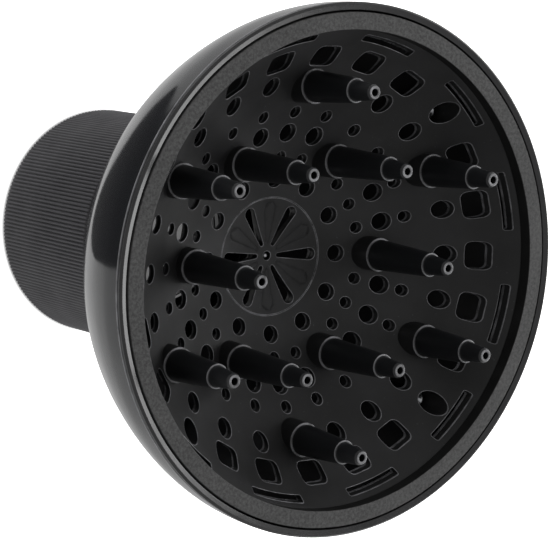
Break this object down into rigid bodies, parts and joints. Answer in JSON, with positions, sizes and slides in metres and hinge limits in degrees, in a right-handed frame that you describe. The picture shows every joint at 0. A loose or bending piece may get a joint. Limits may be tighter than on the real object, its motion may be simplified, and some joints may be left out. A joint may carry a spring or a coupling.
{
  "type": "dryer diffuser",
  "caption": "Bell-shaped hair dryer diffuser: a dished, perforated plate with hollow stepped fingers, and a ribbed rear collar that turns to close gripping jaws on the dryer's nozzle.",
  "frame": {"origin": "centre of the collar's rear face, on the axis, at the object's base", "axes": "+Z along the axis, from the collar towards the finger tips; +X through the first inner finger"},
  "size_m": [0.1598, 0.1598, 0.1499],
  "materials": {
    "gloss_black": "polished black ABS, mirror-smooth",
    "satin_black": "satin black ABS lip",
    "matte_grey": "fine spark-textured dark grey",
    "plate_black": "matte black, lightly textured, heat-resistant nylon",
    "finger_black": "smooth satin black",
    "ribbed_black": "satin black sleeve with fine lengthwise ribs",
    "nylon_black": "glass-filled black nylon",
    "silicone_grey": "dark grey silicone",
    "rubber_black": "black rubber",
    "zinc_steel": "bright zinc-plated steel"
  },
  "bodies": {
    "housing": {"bell_housing": "gloss_black", "rim_bezel": "satin_black", "face_ring": "matte_grey", "finger_plate": "plate_black", "centre_disc": "plate_black", "centre_screw": "zinc_steel", "inner_finger_1": "finger_black", "inner_finger_2": "finger_black", "inner_finger_3": "finger_black", "inner_finger_4": "finger_black", "inner_finger_5": "finger_black", "inner_finger_6": "finger_black", "outer_finger_1": "finger_black", "outer_finger_2": "finger_black", "outer_finger_3": "finger_black", "outer_finger_4": "finger_black", "outer_finger_5": "finger_black", "outer_finger_6": "finger_black", "plate_screw_1": "zinc_steel", "plate_screw_2": "zinc_steel", "plate_screw_3": "zinc_steel", "plate_screw_4": "zinc_steel", "jaw_carrier": "nylon_black", "carrier_screw_1": "zinc_steel", "carrier_screw_2": "zinc_steel", "carrier_screw_3": "zinc_steel", "pivot_pin_1": "zinc_steel", "pivot_pin_2": "zinc_steel", "pivot_pin_3": "zinc_steel", "pivot_pin_4": "zinc_steel", "pivot_pin_5": "zinc_steel", "pivot_pin_6": "zinc_steel", "drag_ring": "rubber_black"},
    "collar": {"twist_collar": "ribbed_black", "cam_plate": "nylon_black"},
    "jaw_1": {"jaw_1": "nylon_black", "jaw_pad_1": "silicone_grey"},
    "jaw_2": {"jaw_2": "nylon_black", "jaw_pad_2": "silicone_grey"},
    "jaw_3": {"jaw_3": "nylon_black", "jaw_pad_3": "silicone_grey"},
    "jaw_4": {"jaw_4": "nylon_black", "jaw_pad_4": "silicone_grey"},
    "jaw_5": {"jaw_5": "nylon_black", "jaw_pad_5": "silicone_grey"},
    "jaw_6": {"jaw_6": "nylon_black", "jaw_pad_6": "silicone_grey"}
  },
  "joints": [
    {"name": "collar_twist", "type": "hinge", "parent": "housing", "child": "collar", "pos_m": [0, 0, 0.03], "axis": [0, 0, 1], "range_deg": [0, 40]},
    {"name": "jaw_1_swing", "type": "hinge", "parent": "housing", "child": "jaw_1", "pos_m": [0.0334, 0, 0.016], "axis": [0, 0, 1], "range_deg": [0, 22]},
    {"name": "jaw_2_swing", "type": "hinge", "parent": "housing", "child": "jaw_2", "pos_m": [0.0167, 0.02892, 0.016], "axis": [0, 0, 1], "range_deg": [0, 22]},
    {"name": "jaw_3_swing", "type": "hinge", "parent": "housing", "child": "jaw_3", "pos_m": [-0.0167, 0.02892, 0.016], "axis": [0, 0, 1], "range_deg": [0, 22]},
    {"name": "jaw_4_swing", "type": "hinge", "parent": "housing", "child": "jaw_4", "pos_m": [-0.0334, 0, 0.016], "axis": [0, 0, 1], "range_deg": [0, 22]},
    {"name": "jaw_5_swing", "type": "hinge", "parent": "housing", "child": "jaw_5", "pos_m": [-0.0167, -0.02892, 0.016], "axis": [0, 0, 1], "range_deg": [0, 22]},
    {"name": "jaw_6_swing", "type": "hinge", "parent": "housing", "child": "jaw_6", "pos_m": [0.0167, -0.02892, 0.016], "axis": [0, 0, 1], "range_deg": [0, 22]}
  ],
  "couplings": [
    {"joint": "jaw_1_swing", "follows": "collar_twist", "ratio": 0.55},
    {"joint": "jaw_2_swing", "follows": "collar_twist", "ratio": 0.55},
    {"joint": "jaw_3_swing", "follows": "collar_twist", "ratio": 0.55},
    {"joint": "jaw_4_swing", "follows": "collar_twist", "ratio": 0.55},
    {"joint": "jaw_5_swing", "follows": "collar_twist", "ratio": 0.55},
    {"joint": "jaw_6_swing", "follows": "collar_twist", "ratio": 0.55}
  ]
}
